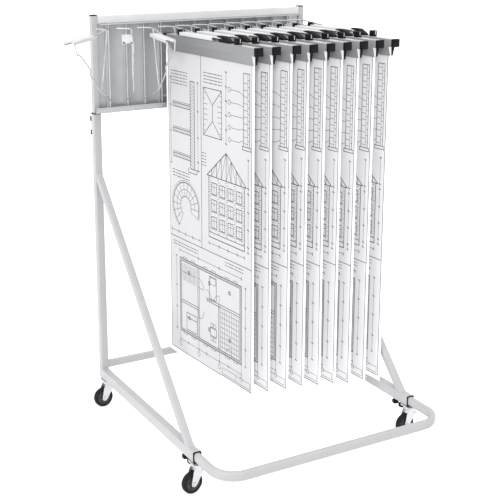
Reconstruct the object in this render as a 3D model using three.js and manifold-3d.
// Plan hanging rack: a mobile stand with twelve swinging hangers. Nine of them hold a clamp with a plan sheet.
// Millimetres, +Z up, +X along the hanger panel, the plans point to the front, which is -Y.
import * as THREE from "three";
import { mergeVertices } from "three/addons/utils/BufferGeometryUtils.js";
import Module from "manifold-3d";

const wasm = await Module();
wasm.setup();

// Driving dimensions
const FRAME_W = 960; // over the outer faces of the two uprights
const TUBE = 30; // side of the square upright tube, and width of the base rails
const WALL = 2; // wall of the outer tubes
const SLIDE_GAP = 0.5; // each side, between telescoping tubes
const RAIL_H = 40; // height of a base rail
const RAIL_REACH = 819; // rail length in front of the upright
const CASTER_H = 112; // floor to rail underside
const UPRIGHT_TOP = 1213;
const POST_TOP = 1594; // top of the mast, lowered
const POST_LENGTH = 950; // mast post with the part inside the upright
const CAP_T = 4; // plastic cap on a mast post
const COLLAR_T = 4; // plastic collar at the end of an outer tube
const COLLAR_RIM = 1;
const BRACE = 25; // side of the square brace tube
const BRACE_TOP = 977; // where its centre line meets the upright
const BRACE_FOOT = 775; // where its centre line meets the rail, in front of the upright
const CROSSBAR_H = 25;
const CROSSBAR_LIFT = 3; // above the rail
const BEAM_H = 30; // top beam of the mast
const SHEET_T = 2; // sheet metal of the hanger panel
const TRAY_D = 24; // depth of the panel's pivot flanges in front of the posts
const TRAY_LIP = 22; // height of the bottom flange's front lip
const TOP_LIP = 3; // height of the top flange's front lip
const TRAY_LIFT = 1.5; // above the upright collars when the mast is down
const RIB_W = 8; // folded rib behind each pivot rod
const RIB_D = 7;
const PANEL_SETBACK = 9; // panel sheet behind the front of the posts
const BAR_SHOW = 203; // front face of the front bar, in front of the rail ends
const BAR_BEND = 98; // outer radius of its corner bends
const BAR_TAIL = 400; // length of its arms behind the bend centres that stays in the rails
const BAR_WALL = 2;

const MOST_HANGERS = 12; // fewer where the panel has no room for them
const ROW_EDGE = 30; // least width of panel outside the outer pivots
const EMPTY = 3; // the first hangers carry no clamp
const PITCH = 73.8;
const PIVOT_OFFSET = -9; // the row of pivots sits a little to the left of the middle
const PIVOT_Y = 12; // pivot rods in front of the upright faces
const ROD_D = 6;
const PIVOT_GAP = 0.8; // between a rod and its hole
const WIRE_D = 5;
const WIRE_CORNER = 1.1; // a square section's corners stand out of the round wire
const WIRE_SIDE = 20.5; // the brace wire runs beside the clamp
const WIRE_DROP = 11; // hanger's top below the panel's upper lip
const ROD_PAST = 3; // the rod's end under the panel's tray
const ROD_END_DROP = 6; // where the top wire leaves the rod
const STOP_H = 4; // ring on the rod that rests on the tray
const STOP_RIM = 3;
const TOP_WIRE_RISE_R = 22;
const TOP_WIRE_R = 58; // reach of the top wire from the pivot rod
const CROSS_FROM = -36; // left end of the cross wire
const CROSS_AT = 42;
const CROSS_LEAN = 20; // its right end lies further out
const NECK_V = 17; // the neck wire passes beside the rear clamp knob
const NECK_KNEE_R = 105;
const NECK_FOOT_R = 168;
const NECK_END_R = 205;
const STRUT_TOP_R = 68;
const STRUT_TOP_DROP = 9;
const STRUT_KNEE_R = 130;
const STRUT_KNEE_DROP = 186;
const STRUT_FOOT_R = 152;
const STRUT_FOOT_DROP = 221;
const BRACE_START = 42; // above the pivot foot
const BRACE_KNEE_R = 90;
const BRACE_KNEE_RISE = 78;
const JOG_R = 262;
const JOG_DROP = 141;
const JOG_BACK_R = 250;
const JOG_BACK_DROP = 128;
const BRACE_BEND_R = 340;
const BRACE_BEND_DROP = 68;
const BRACE_END_R = 380;
const BRACE_END_DROP = 56;
const BRACE_HOOK_R = 391;
const ARM_FROM = 172;
const ARM_TO = 400;
const ARM_W = 38;
const ARM_H = 12;
const ARM_T = 2;
const ARM_LIP = 8; // inward lips that carry the clamp's flange
const TONGUE = 48;
const TONGUE_W = 18;
const FIT = 0.35; // between a clamp and the hanger that carries it
const REST_ANGLES = [-43, -23, -11, 4.3, 4.1, 4.9, 4.6, 4.5, 4.3, 4.1, 3.9, 3.6];

const CLAMP_FROM = 45; // distance of the clamp's rear end from the pivot
const CLAMP_LENGTH = 631;
const CLAMP_TOP = 1519;
const CLAMP_W = 30;
const CLAMP_BOX_H = 28;
const JAW_H = 35;
const JAW_TIP_W = 12;
const JAW_LIP = 10; // height of the lips that grip the paper
const JAW_WALL = 2.5;
const JAW_FRONT_CUT = 26; // the jaws end behind the clamp's front end
const JAW_REAR_CUT = 55; // and are cut on a slant at its rear end
const NECK_W = 15;
const NECK_H = 4.5;
const FLANGE_W = 30;
const FLANGE_T = 3;
const RAIL_INSET = 6; // the clamp's rail ends inside the arm's channel
const CLAMP_CAP_T = 11; // plastic end caps
const REAR_CAP_T = 22;
const KNOB_BLOCK = 21; // clamp knobs, at both ends
const KNOB_BLOCK_H = 22;
const REAR_KNOB_AT = 108; // from the clamp's rear end
const FRONT_KNOB_AT = 497;
const CATCH_AT = 376; // black catch that grips the tongue
const CATCH_L = 84;
const CATCH_W = 22;
const CATCH_H = 22;
const CATCH_ROOF = 46; // flat length on top of the catch
const CATCH_LIP = 12; // how far the lower prong stands back
const CATCH_GAP = 1.2; // above and under the tongue
const TONGUE_GAP = 3; // in front of its end
const CATCH_TOE = 4; // height of the catch's front end

const PAPER_T = 1.2; // a set of sheets
const PAPER_GRIP = 28; // depth held in the jaws
const PAPER_GAP = 0.3;
const PAPER_INSET = 4; // paper edge behind the jaws' front end
const PAPER_PAST = 6; // paper edge behind the clamp's rear end
const PAPER_BOTTOM = [210, 205, 196, 193, 180, 173, 159, 158, 158];

const WHEEL_D = 80;
const WHEEL_W = 24;
const WHEEL_SIDES = 14;
const HUB_SHARE = 0.45; // radii of hub and rim, of the wheel's
const RIM_SHARE = 0.72;
const TRAIL = 20;
const AXLE_D = 9;
const AXLE_GAP = 0.6;
const FORK_T = 3;
const FORK_GAP = 2; // between wheel and leg
const FORK_EYE = 11; // around the axle
const ROOF_T = 4; // top of the fork
const LEG_DROP = 14; // straight part of a leg's front edge
const CROWN_R = 21;
const CROWN_H = 10;
const PLATE_T = 4;
const PLATE_L = 58;
const PLATE_W = 42;
const SWIVEL_GAP = 0.4;
const KINGPIN_D = 10;
const FRONT_CASTER_BACK = 5; // front caster axes behind the rail ends
const REAR_CASTER_AT = 15; // rear caster axes in front of the uprights
const PEDAL_L = 30;
const PEDAL_W = 22;
const PEDAL_T = 4;
const PEDAL_DROP = 16; // from its pin to its tip
const PEDAL_PIN_X = 17;
const PEDAL_PIN_Z = 82;
const PEDAL_PIN_D = 5;
const CASTER_HEADINGS = { rear_left: 4, rear_right: 10, front_left: 8, front_right: 5 };

const KNOB_R = 14;
const KNOB_T = 16;
const KNOB_LOBES = 5;
const KNOB_WAIST = 0.78; // radius between the lobes, of the knob's
const STEM_D = 8;
const STEM_GAP = 0.6;
const STEM_SHOW = 8; // stem between the tube and the knob head
const KNOB_PITCH_BASE = 40;
const KNOB_BASE_AT = 48; // first base knob behind the rail end
const KNOB_PITCH_MAST = 53;
const KNOB_MAST_AT = 24; // first mast knob below the upright's top

// Derived
const INNER = TUBE - 2 * WALL - 2 * SLIDE_GAP;
const BORE = TUBE - 2 * WALL;
const SIDE_X = FRAME_W / 2 - TUBE / 2;
const PANEL_HALF = SIDE_X - INNER / 2;
const ROW_SPACE = 2 * (PANEL_HALF - ROW_EDGE - Math.abs(PIVOT_OFFSET));
const HANGERS = Math.min(MOST_HANGERS, 1 + Math.floor(ROW_SPACE / PITCH));
const RAIL_TOP = CASTER_H + RAIL_H;
const BAR_REACH = RAIL_REACH + BAR_SHOW;
const FRONT_CASTER_AT = RAIL_REACH - FRONT_CASTER_BACK;
const ARM_BAR_H = RAIL_H - 2 * WALL - 2 * SLIDE_GAP;
const ARM_BAR_Z = CASTER_H + WALL + SLIDE_GAP;
const INNER_FRONT = (TUBE - INNER) / 2;
const PLATE_Z = CASTER_H - PLATE_T;
const TRAY_Z = UPRIGHT_TOP + COLLAR_T + TRAY_LIFT;
const BEAM_Z = POST_TOP - CAP_T - BEAM_H;
const ARM_Z = CLAMP_TOP + NECK_H - ARM_T - FIT;
const JAW_TIP_Z = CLAMP_TOP - CLAMP_BOX_H - JAW_H;

// Geometry helpers
function solid(geometry) {
  const g = geometry.clone();
  for (const name of Object.keys(g.attributes)) {
    if (name !== "position") g.deleteAttribute(name);
  }
  const m = mergeVertices(g, 1e-4);
  return new wasm.Manifold(
    new wasm.Mesh({
      numProp: 3,
      vertProperties: new Float32Array(m.attributes.position.array),
      triVerts: new Uint32Array(m.index.array),
    }),
  );
}
function geometryOf(man) {
  const m = man.getMesh();
  const v = new Float32Array(m.numVert * 3);
  for (let i = 0; i < m.numVert; i++) {
    const from = i * m.numProp;
    v.set(m.vertProperties.subarray(from, from + 3), i * 3);
  }
  const g = new THREE.BufferGeometry();
  g.setAttribute("position", new THREE.BufferAttribute(v, 3));
  g.setIndex(new THREE.BufferAttribute(new Uint32Array(m.triVerts), 1));
  g.computeVertexNormals();
  return g;
}
const join = (...list) => list.reduce((a, b) => a.add(b));
const cut = (a, ...list) => list.reduce((x, b) => x.subtract(b), a);

function box(x0, x1, y0, y1, z0, z1) {
  const g = new THREE.BoxGeometry(x1 - x0, y1 - y0, z1 - z0);
  g.translate((x0 + x1) / 2, (y0 + y1) / 2, (z0 + z1) / 2);
  return solid(g);
}
// A cylinder from point a to point b.
function rod(a, b, r, sides = 8) {
  const p = new THREE.Vector3(...a);
  const d = new THREE.Vector3(...b).sub(p);
  const g = new THREE.CylinderGeometry(r, r, d.length(), sides);
  g.translate(0, d.length() / 2, 0);
  g.applyQuaternion(new THREE.Quaternion().setFromUnitVectors(new THREE.Vector3(0, 1, 0), d.normalize()));
  g.translate(p.x, p.y, p.z);
  return solid(g);
}
// A closed outline in the XY plane, raised along Z.
function raised(points, z0, z1) {
  const shape = Array.isArray(points) ? new THREE.Shape(points.map((p) => new THREE.Vector2(...p))) : points;
  const g = new THREE.ExtrudeGeometry(shape, { depth: z1 - z0, bevelEnabled: false, curveSegments: 6 });
  g.translate(0, 0, z0);
  return solid(g);
}
// A closed outline given as (x, z), carried along Y from y0 to y1.
function along(points, y0, y1) {
  const shape = new THREE.Shape(points.map((p) => new THREE.Vector2(...p)));
  const g = new THREE.ExtrudeGeometry(shape, { depth: y1 - y0, bevelEnabled: false });
  g.rotateX(Math.PI / 2);
  g.translate(0, y1, 0);
  return solid(g);
}
// A closed outline given as (y, z), carried along X from x0 to x1.
function across(points, x0, x1) {
  const shape = new THREE.Shape(points.map((p) => new THREE.Vector2(...p)));
  const g = new THREE.ExtrudeGeometry(shape, { depth: x1 - x0, bevelEnabled: false });
  const [x, y, z] = [new THREE.Vector3(1, 0, 0), new THREE.Vector3(0, 1, 0), new THREE.Vector3(0, 0, 1)];
  g.applyMatrix4(new THREE.Matrix4().makeBasis(y, z, x));
  g.translate(x0, 0, 0);
  return solid(g);
}
// A polyline as a curve that is sampled at its own corners.
class Bent extends THREE.Curve {
  constructor(points) {
    super();
    this.v = points.map((p) => new THREE.Vector3(...p));
  }
  getPoint(t, out = new THREE.Vector3()) {
    const n = this.v.length - 1;
    const i = Math.min(Math.floor(t * n + 1e-9), n - 1);
    return out.copy(this.v[i]).lerp(this.v[i + 1], t * n - i);
  }
  getSpacedPoints() {
    return this.v.map((p) => p.clone());
  }
  getTangentAt(u, out = new THREE.Vector3()) {
    const n = this.v.length - 1;
    const i = Math.round(u * n);
    out.set(0, 0, 0);
    if (i > 0) out.add(this.v[i].clone().sub(this.v[i - 1]).normalize());
    if (i < n) out.add(this.v[i + 1].clone().sub(this.v[i]).normalize());
    return out.normalize();
  }
}
// A bent wire through the points.
function wire(points, r, sides = 4) {
  const corner = (i) => {
    const a = (2 * Math.PI * (i + 0.5)) / sides;
    return new THREE.Vector2(Math.cos(a), Math.sin(a)).multiplyScalar(WIRE_CORNER * r);
  };
  const section = new THREE.Shape([...Array(sides).keys()].map(corner));
  const options = { steps: points.length - 1, bevelEnabled: false, extrudePath: new Bent(points) };
  return solid(new THREE.ExtrudeGeometry(section, options));
}

const root = new THREE.Group();
root.name = "plan_hanging_rack";
const PAINT = { color: 0xdddce0, roughness: 0.45, metalness: 0.1 };
const PANEL_PAINT = { color: 0xb4b5b9, roughness: 0.4, metalness: 0.15 };
const WIRE_PAINT = { color: 0xe4e4e7, roughness: 0.38, metalness: 0.1 };
const BLACK = { color: 0x202022, roughness: 0.6, metalness: 0 };
const RUBBER = { color: 0x1a1a1c, roughness: 0.8, metalness: 0 };
const ZINC = { color: 0xc8c9cc, roughness: 0.32, metalness: 0.85 };
const STEEL = { color: 0xb0b2b6, roughness: 0.36, metalness: 0.8 };
const ALUMINIUM = { color: 0x9c9ea2, roughness: 0.4, metalness: 0.7 };
const PAPER = { color: 0xf2f2f4, roughness: 0.9, metalness: 0 };
function piece(parent, name, man, finish) {
  const mesh = new THREE.Mesh(geometryOf(man), new THREE.MeshStandardMaterial(finish));
  mesh.name = name;
  parent.add(mesh);
  return mesh;
}

// Side frames: upright, base rail and diagonal brace, welded
function caster_plate(x, y) {
  const w = PLATE_W / 2;
  const l = PLATE_L / 2;
  const h = TUBE / 2 - 1;
  const weld = box(x - h, x + h, Math.max(y - l, 1 - RAIL_REACH), y + l - 1, PLATE_Z + 1, CASTER_H + 1);
  const kingpin = rod([x, y, PLATE_Z + 1], [x, y, PLATE_Z - CROWN_H - 1], KINGPIN_D / 2 - 0.1, 8);
  return join(box(x - w, x + w, y - l, y + l, PLATE_Z, CASTER_H), weld, kingpin);
}
function side_frame(s) {
  const x = s * SIDE_X;
  const h = TUBE / 2;
  const b = BRACE / 2;
  const dir = new THREE.Vector2(-BRACE_FOOT, RAIL_TOP - BRACE_TOP).normalize();
  const n = new THREE.Vector2(-dir.y, dir.x);
  const bar = (half, w, lead) => {
    const a = new THREE.Vector2(TUBE / 2, BRACE_TOP).addScaledVector(dir, -lead);
    const e = new THREE.Vector2(TUBE / 2 - BRACE_FOOT, RAIL_TOP).addScaledVector(dir, lead);
    const corner = (p, side) => {
      const q = p.clone().addScaledVector(n, side * half);
      return [q.x, q.y];
    };
    return across([corner(a, 1), corner(a, -1), corner(e, -1), corner(e, 1)], x - w, x + w);
  };
  const within = box(x - h, x + h, -RAIL_REACH, TUBE, CASTER_H, UPRIGHT_TOP);
  const outer = join(
    box(x - h, x + h, 0, TUBE, CASTER_H, UPRIGHT_TOP),
    box(x - h, x + h, -RAIL_REACH, TUBE, CASTER_H, RAIL_TOP),
    bar(b, b, 10).intersect(within),
    caster_plate(x, -REAR_CASTER_AT),
    caster_plate(x, -FRONT_CASTER_AT),
  );
  const bore = BORE / 2;
  const brace_bore = box(x - bore, x + bore, -RAIL_REACH, WALL + 0.5, RAIL_TOP - WALL - 0.5, UPRIGHT_TOP);
  let frame = cut(
    outer,
    box(x - bore, x + bore, WALL, TUBE - WALL, RAIL_TOP + WALL, UPRIGHT_TOP + 1),
    box(x - bore, x + bore, -RAIL_REACH - 1, -WALL, CASTER_H + WALL, RAIL_TOP - WALL),
    bar(b - WALL, b - WALL, 0).intersect(brace_bore),
  );
  for (const i of [0, 1]) {
    const y = -RAIL_REACH + KNOB_BASE_AT + i * KNOB_PITCH_BASE;
    frame = cut(frame, rod([x, y, CASTER_H - 1], [x, y, CASTER_H + WALL + 1], STEM_D / 2 + STEM_GAP, 8));
    const z = UPRIGHT_TOP - KNOB_MAST_AT - i * KNOB_PITCH_MAST;
    frame = cut(frame, rod([x, TUBE - WALL - 1, z], [x, TUBE + 1, z], STEM_D / 2 + STEM_GAP, 8));
  }
  return frame;
}
for (const [side, s] of [["left", -1], ["right", 1]]) {
  const x = s * SIDE_X;
  const half = TUBE / 2 + COLLAR_RIM;
  const hole = INNER / 2 + SLIDE_GAP;
  piece(root, side + "_side_frame", side_frame(s), PAINT);
  piece(
    root,
    side + "_upright_collar",
    cut(
      box(x - half, x + half, -COLLAR_RIM, TUBE + COLLAR_RIM, UPRIGHT_TOP, UPRIGHT_TOP + COLLAR_T),
      box(x - hole, x + hole, TUBE / 2 - hole, TUBE / 2 + hole, UPRIGHT_TOP - 1, UPRIGHT_TOP + COLLAR_T + 1),
    ),
    BLACK,
  );
  piece(
    root,
    side + "_rail_collar",
    cut(
      box(x - half, x + half, -RAIL_REACH - COLLAR_T, -RAIL_REACH, CASTER_H, RAIL_TOP + COLLAR_RIM),
      box(x - hole, x + hole, -RAIL_REACH - COLLAR_T - 1, -RAIL_REACH + 1, CASTER_H + WALL, RAIL_TOP - WALL),
    ),
    BLACK,
  );
}
const INNER_BACK = TUBE - INNER_FRONT;
// A square tube along X, open at both ends
function cross_tube(half, z, height) {
  return cut(
    box(-half, half, INNER_FRONT, INNER_BACK, z, z + height),
    box(-half - 1, half + 1, INNER_FRONT + WALL, INNER_BACK - WALL, z + WALL, z + height - WALL),
  );
}
piece(root, "rear_crossbar", cross_tube(SIDE_X - TUBE / 2, RAIL_TOP + CROSSBAR_LIFT, CROSSBAR_H), PAINT);

// Mast: two posts with caps, the top beam and the hanger panel
const mast = new THREE.Group();
root.add(mast);
for (const [side, s] of [["left", -1], ["right", 1]]) {
  const x = s * SIDE_X;
  const h = INNER / 2;
  const top = POST_TOP - CAP_T;
  const foot = POST_TOP - POST_LENGTH;
  const post = cut(
    box(x - h, x + h, INNER_FRONT, INNER_BACK, foot, top),
    box(x - h + WALL, x + h - WALL, INNER_FRONT + WALL, INNER_BACK - WALL, foot - 1, top - WALL),
  );
  const cap = box(x - h, x + h, INNER_FRONT, INNER_BACK, top, POST_TOP);
  piece(mast, side + "_mast_post", join(post, cap), PAINT);
}
piece(mast, "top_beam", cross_tube(SIDE_X - INNER / 2, BEAM_Z, BEAM_H), PAINT);
const pivotX = (k) => (k - (HANGERS - 1) / 2) * PITCH + PIVOT_OFFSET;
function hanger_panel() {
  const x1 = PANEL_HALF;
  const w1 = SIDE_X + INNER / 2;
  const back = INNER_FRONT + PANEL_SETBACK;
  const front = back - SHEET_T;
  const outline = [[-x1, front]];
  const rear = [[-x1, back]];
  for (let k = 0; k < HANGERS; k++) {
    const x = pivotX(k);
    const a = RIB_W / 2;
    const i = a - SHEET_T;
    outline.push([x - a, front], [x - a, front - RIB_D], [x + a, front - RIB_D], [x + a, front]);
    const groove = front - RIB_D + SHEET_T;
    rear.push([x - i, back], [x - i, groove], [x + i, groove], [x + i, back]);
  }
  outline.push([x1, front]);
  rear.push([x1, back]);
  const sheet = raised([...outline, ...rear.reverse()], TRAY_Z, BEAM_Z);
  const y0 = -TRAY_D;
  let panel = join(
    sheet,
    box(-w1, w1, y0, INNER_FRONT, TRAY_Z, TRAY_Z + SHEET_T),
    box(-w1, w1, y0, y0 + SHEET_T, TRAY_Z, TRAY_Z + TRAY_LIP),
    box(-x1, x1, INNER_FRONT - 1, back, TRAY_Z, TRAY_Z + SHEET_T),
    box(-x1, x1, y0, back, BEAM_Z - SHEET_T, BEAM_Z),
    box(-x1, x1, y0, y0 + SHEET_T, BEAM_Z - TOP_LIP, BEAM_Z),
  );
  const r = ROD_D / 2 + PIVOT_GAP;
  for (let k = 0; k < HANGERS; k++) {
    const hole = (z0, z1) => rod([pivotX(k), -PIVOT_Y, z0 - 1], [pivotX(k), -PIVOT_Y, z1 + 1], r, 6);
    panel = cut(panel, hole(TRAY_Z, TRAY_Z + SHEET_T), hole(BEAM_Z - SHEET_T, BEAM_Z));
  }
  return panel;
}
piece(mast, "hanger_panel", hanger_panel(), PANEL_PAINT);

// Hangers: local x to the right of the arm, local -y outwards from the pivot
function hanger() {
  const floor = TRAY_Z + SHEET_T;
  const foot = floor + FIT;
  const w = ARM_W / 2;
  const top = ARM_Z + ARM_H;
  const inner = w - ARM_T;
  const lip = w - ARM_LIP;
  const channel = along(
    [
      [-w, ARM_Z], [-lip, ARM_Z], [-lip, ARM_Z + ARM_T], [-inner, ARM_Z + ARM_T],
      [-inner, top - ARM_T], [inner, top - ARM_T], [inner, ARM_Z + ARM_T], [lip, ARM_Z + ARM_T],
      [lip, ARM_Z], [w, ARM_Z], [w, top], [-w, top],
    ],
    -ARM_TO,
    -ARM_FROM,
  );
  const r = WIRE_D / 2;
  const v = WIRE_SIDE;
  const high = BEAM_Z - SHEET_T - TOP_LIP - WIRE_DROP;
  const level = high - 0.5; // the top and cross wires lie in one plane
  const strut_foot = [v, -STRUT_FOOT_R, high - STRUT_FOOT_DROP];
  const cross_end = CROSS_AT + CROSS_LEAN;
  const top_wire = [[0, 0, high - ROD_END_DROP], [0, -TOP_WIRE_RISE_R, high - 1], [0, -TOP_WIRE_R, level]];
  const neck_wire = [
    [NECK_V - 3, 2 - cross_end, level],
    [NECK_V, -NECK_KNEE_R, high - 3],
    [NECK_V, -NECK_FOOT_R, top + 2],
    [NECK_V, -NECK_END_R, top + 1],
  ];
  const strut_wire = [
    [CROSS_FROM, -CROSS_AT, level],
    [NECK_V, -cross_end, level],
    [v, -STRUT_TOP_R, high - STRUT_TOP_DROP],
    [v, -STRUT_KNEE_R, high - STRUT_KNEE_DROP],
    strut_foot,
  ];
  const brace_wire = [
    [0, 0, foot + BRACE_START],
    [v, -BRACE_KNEE_R, foot + BRACE_KNEE_RISE],
    strut_foot,
    [v, -JOG_R, high - JOG_DROP],
    [v, -JOG_BACK_R, high - JOG_BACK_DROP],
    [v, -BRACE_BEND_R, high - BRACE_BEND_DROP],
    [v, -BRACE_END_R, high - BRACE_END_DROP],
    [v - 1, -BRACE_HOOK_R, ARM_Z + 4],
  ];
  return join(
    rod([0, 0, TRAY_Z - ROD_PAST], [0, 0, BEAM_Z - FIT], ROD_D / 2, 6),
    rod([0, 0, foot], [0, 0, foot + STOP_H], ROD_D / 2 + STOP_RIM, 6),
    channel,
    box(-TONGUE_W / 2, TONGUE_W / 2, -ARM_TO - TONGUE, -ARM_TO + 4, top - ARM_T, top),
    wire(top_wire, r),
    wire(neck_wire, r),
    wire(strut_wire, r),
    wire(brace_wire, r),
  );
}
// The extruded jaws, end caps, knobs and catch of a clamp
function clamp() {
  const h = CLAMP_W / 2;
  const z0 = CLAMP_TOP - CLAMP_BOX_H;
  const t = JAW_TIP_W / 2;
  const slot = PAPER_T / 2 + PAPER_GAP;
  const y0 = -CLAMP_FROM;
  const y1 = y0 - CLAMP_LENGTH;
  const lip = JAW_TIP_Z + JAW_LIP;
  const inner = h - JAW_WALL;
  const throat = t + ((h - t) * JAW_LIP) / JAW_H - JAW_WALL;
  const roof = CLAMP_TOP - JAW_WALL;
  const outside = [[t, JAW_TIP_Z], [h, z0], [h, CLAMP_TOP]];
  const inside = [[inner, roof], [inner, z0], [throat, lip], [slot, lip], [slot, JAW_TIP_Z]];
  const mirrored = (points) => points.map(([x, z]) => [-x, z]).reverse();
  const extrusion = along(
    [...outside, ...mirrored(outside), ...mirrored(inside), ...inside],
    y1 + CLAMP_CAP_T,
    y0 - REAR_CAP_T,
  );
  const under = JAW_TIP_Z - 1;
  const jaw_front = y1 + JAW_FRONT_CUT;
  const front_cut = box(-h - 1, h + 1, y1 - 1, jaw_front, under, z0);
  const rear_cut = across(
    [[y0 - JAW_REAR_CUT, under], [y0 + 1, under], [y0 + 1, z0], [y0 - REAR_CAP_T, z0]],
    -h - 1,
    h + 1,
  );
  const jaws = cut(extrusion, front_cut, rear_cut);
  const n = NECK_W / 2;
  const f = FLANGE_W / 2;
  const shelf = CLAMP_TOP + NECK_H;
  const rail = along(
    [
      [-n, CLAMP_TOP - 1], [n, CLAMP_TOP - 1], [n, shelf], [f, shelf],
      [f, shelf + FLANGE_T], [-f, shelf + FLANGE_T], [-f, shelf], [-n, shelf],
    ],
    -ARM_TO + RAIL_INSET,
    -ARM_FROM - RAIL_INSET,
  );
  const end = (a, b) => box(-h, h, Math.min(a, b), Math.max(a, b), z0, CLAMP_TOP);
  const kb = KNOB_BLOCK / 2;
  const knob = (at) => box(-kb, kb, y0 - at - kb, y0 - at + kb, CLAMP_TOP - 1, CLAMP_TOP + KNOB_BLOCK_H);
  const c0 = y0 - CATCH_AT;
  const c1 = c0 - CATCH_L;
  const tongueTop = ARM_Z + ARM_H;
  const mouth = -ARM_TO - TONGUE - TONGUE_GAP;
  const upper = tongueTop + CATCH_GAP;
  const lower = tongueTop - ARM_T - CATCH_GAP;
  const top = CLAMP_TOP + CATCH_H;
  const catcher = across(
    [
      [c1, CLAMP_TOP - 1], [c0 - CATCH_LIP, CLAMP_TOP - 1], [c0 - CATCH_LIP, lower], [mouth, lower],
      [mouth, upper], [c0, upper], [c0, top], [c0 - CATCH_ROOF, top], [c1, CLAMP_TOP + CATCH_TOE],
    ],
    -CATCH_W / 2,
    CATCH_W / 2,
  );
  const caps = join(end(y0, y0 - REAR_CAP_T), end(y1, y1 + CLAMP_CAP_T));
  return join(jaws, rail, caps, knob(REAR_KNOB_AT), knob(FRONT_KNOB_AT), catcher);
}
function plan_sheet(bottom) {
  const y0 = -CLAMP_FROM + PAPER_PAST;
  const y1 = -CLAMP_FROM - CLAMP_LENGTH + JAW_FRONT_CUT + PAPER_INSET;
  return box(-PAPER_T / 2, PAPER_T / 2, y1, y0, bottom, JAW_TIP_Z + PAPER_GRIP);
}
for (let k = 0; k < HANGERS; k++) {
  const turn = new THREE.Group();
  turn.position.set(pivotX(k), -PIVOT_Y, 0);
  turn.rotation.z = (REST_ANGLES[k] * Math.PI) / 180;
  mast.add(turn);
  piece(turn, "hanger_" + (k + 1), hanger(), WIRE_PAINT);
  if (k >= EMPTY) {
    piece(turn, "clamp_" + (k + 1), clamp(), ALUMINIUM);
    piece(turn, "plan_sheet_" + (k + 1), plan_sheet(PAPER_BOTTOM[k - EMPTY]), PAPER);
  }
}

// Front bar: a bent tube whose arms slide in the base rails
function front_bar() {
  const outline = (inset, rear) => {
    const xo = SIDE_X + INNER / 2 - inset;
    const xi = SIDE_X - INNER / 2 + inset;
    const yf = -BAR_REACH + inset;
    const yb = -BAR_REACH + INNER - inset;
    const ro = BAR_BEND - inset;
    const ri = BAR_BEND - INNER + inset;
    const s = new THREE.Shape();
    s.moveTo(-xo, rear);
    s.lineTo(-xo, yf + ro);
    s.absarc(-xo + ro, yf + ro, ro, Math.PI, 1.5 * Math.PI, false);
    s.lineTo(xo - ro, yf);
    s.absarc(xo - ro, yf + ro, ro, 1.5 * Math.PI, 2 * Math.PI, false);
    s.lineTo(xo, rear);
    s.lineTo(xi, rear);
    s.lineTo(xi, yb + ri);
    s.absarc(xi - ri, yb + ri, ri, 0, -0.5 * Math.PI, true);
    s.lineTo(-xi + ri, yb);
    s.absarc(-xi + ri, yb + ri, ri, 1.5 * Math.PI, Math.PI, true);
    s.lineTo(-xi, rear);
    s.closePath();
    return s;
  };
  const rear = -RAIL_REACH + BAR_TAIL;
  const top = ARM_BAR_Z + ARM_BAR_H;
  return cut(
    raised(outline(0, rear), ARM_BAR_Z, top),
    raised(outline(BAR_WALL, rear + 1), ARM_BAR_Z + BAR_WALL, top - BAR_WALL),
  );
}
piece(root, "front_bar", front_bar(), PAINT);

// Casters: local origin on the floor under the swivel axis, the wheel trails to -x
function caster_fork(braked) {
  const r = WHEEL_D / 2;
  const y = WHEEL_W / 2 + FORK_GAP;
  const zt = PLATE_Z - SWIVEL_GAP;
  const zc = zt - CROWN_H;
  const leg = (y0) => {
    const eye = FORK_EYE;
    const pts = [
      [-CROWN_R + 3, zc + ROOF_T], [-TRAIL - eye, r + 2], [-TRAIL - eye + 3, r - eye + 3], [-TRAIL, r - eye],
      [-TRAIL + eye - 3, r - eye + 3], [CROWN_R - 1, zc - LEG_DROP], [CROWN_R - 1, zc + ROOF_T],
    ];
    return along(pts, y0, y0 + FORK_T);
  };
  let fork = join(
    leg(y),
    leg(-y - FORK_T),
    box(-CROWN_R + 4, CROWN_R - 2, -y - FORK_T, y + FORK_T, zc, zc + ROOF_T),
    rod([0, 0, zc], [0, 0, zt], CROWN_R - 2, 12),
    rod([-TRAIL, -y - FORK_T - 4, r], [-TRAIL, y + FORK_T + 4, r], AXLE_D / 2, 8),
  );
  fork = cut(fork, rod([0, 0, zc - 4], [0, 0, zt + 1], KINGPIN_D / 2 + SWIVEL_GAP, 8));
  if (braked) {
    const [x, z] = [PEDAL_PIN_X, PEDAL_PIN_Z];
    fork = cut(fork, rod([x, -y - FORK_T - 1, z], [x, y + FORK_T + 1, z], PEDAL_PIN_D / 2 + SWIVEL_GAP, 8));
  }
  return fork;
}
// A wheel stands on one of its flats.
function caster_wheel() {
  const r = WHEEL_D / 2 / Math.cos(Math.PI / WHEEL_SIDES);
  const w = WHEEL_W / 2;
  const hole = AXLE_D / 2 + AXLE_GAP;
  const near = [[hole, -w], [r * HUB_SHARE, -w], [r * RIM_SHARE, -w + 3], [r - 3, -w + 1], [r, -w + 5]];
  const far = near.map(([radius, at]) => [radius, -at]).reverse();
  const profile = [...near, ...far, near[0]];
  const start = Math.PI / WHEEL_SIDES;
  const turned = (points) => {
    const outline = points.map((p) => new THREE.Vector2(...p));
    return solid(new THREE.LatheGeometry(outline, WHEEL_SIDES, start));
  };
  const s = turned(profile);
  return s.volume() < 0 ? turned(profile.reverse()) : s;
}
function brake_pedal() {
  const y = WHEEL_W / 2 + FORK_GAP + FORK_T + 2;
  const w = PEDAL_W / 2;
  const z = PEDAL_PIN_Z;
  const x = PEDAL_PIN_X;
  const tip = z - PEDAL_DROP;
  const tread = [
    [x - 4, z - 2], [x + 6, z - 3], [x + PEDAL_L, tip],
    [x + PEDAL_L, tip + PEDAL_T], [x + 6, z + 3], [x - 4, z + 2],
  ];
  return join(rod([x, -y, z], [x, y, z], PEDAL_PIN_D / 2, 8), along(tread, -w, w));
}
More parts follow.
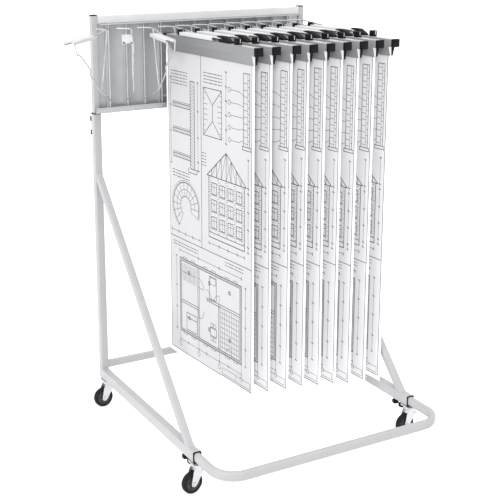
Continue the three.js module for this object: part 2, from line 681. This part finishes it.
for (const [place, s, y] of [
  ["rear_left", -1, -REAR_CASTER_AT],
  ["rear_right", 1, -REAR_CASTER_AT],
  ["front_left", -1, -FRONT_CASTER_AT],
  ["front_right", 1, -FRONT_CASTER_AT],
]) {
  const swivel = new THREE.Group();
  swivel.position.set(s * SIDE_X, y, 0);
  swivel.rotation.z = (CASTER_HEADINGS[place] * Math.PI) / 180;
  root.add(swivel);
  const braked = place.startsWith("front");
  piece(swivel, place + "_caster_fork", caster_fork(braked), ZINC);
  const wheel = piece(swivel, place + "_wheel", caster_wheel(), RUBBER);
  wheel.position.set(-TRAIL, 0, WHEEL_D / 2);
  if (braked) piece(swivel, place + "_brake_pedal", brake_pedal(), STEEL);
}

// Clamping knobs: two under each rail, two behind each upright. Local -z points away from the tube.
function knob(reach) {
  const s = new THREE.Shape();
  const n = KNOB_LOBES * 2;
  for (let i = 0; i < n; i++) {
    const a = (2 * Math.PI * i) / n;
    const r = KNOB_R * (i % 2 ? KNOB_WAIST : 1);
    if (i) s.lineTo(r * Math.cos(a), r * Math.sin(a));
    else s.moveTo(r * Math.cos(a), r * Math.sin(a));
  }
  s.closePath();
  const head = raised(s, -STEM_SHOW - KNOB_T, -STEM_SHOW);
  return join(head, rod([0, 0, -STEM_SHOW - 1], [0, 0, reach], STEM_D / 2, 6));
}
for (const [side, s] of [["left", -1], ["right", 1]]) {
  for (const i of [0, 1]) {
    const reach = WALL + SLIDE_GAP - FIT;
    const base = piece(root, side + "_base_knob_" + (i + 1), knob(reach), BLACK);
    base.position.set(s * SIDE_X, -RAIL_REACH + KNOB_BASE_AT + i * KNOB_PITCH_BASE, CASTER_H);
    const up = piece(root, side + "_mast_knob_" + (i + 1), knob(reach), BLACK);
    up.position.set(s * SIDE_X, TUBE, UPRIGHT_TOP - KNOB_MAST_AT - i * KNOB_PITCH_MAST);
    up.rotation.x = Math.PI / 2;
  }
}

// The part's frame: origin on the floor, under the middle of the box around everything
root.updateMatrixWorld(true);
const bounds = new THREE.Box3().setFromObject(root, true);
const middle = bounds.getCenter(new THREE.Vector3());
root.children.forEach((c) => c.position.add(new THREE.Vector3(-middle.x, -middle.y, -bounds.min.z)));

export default root;
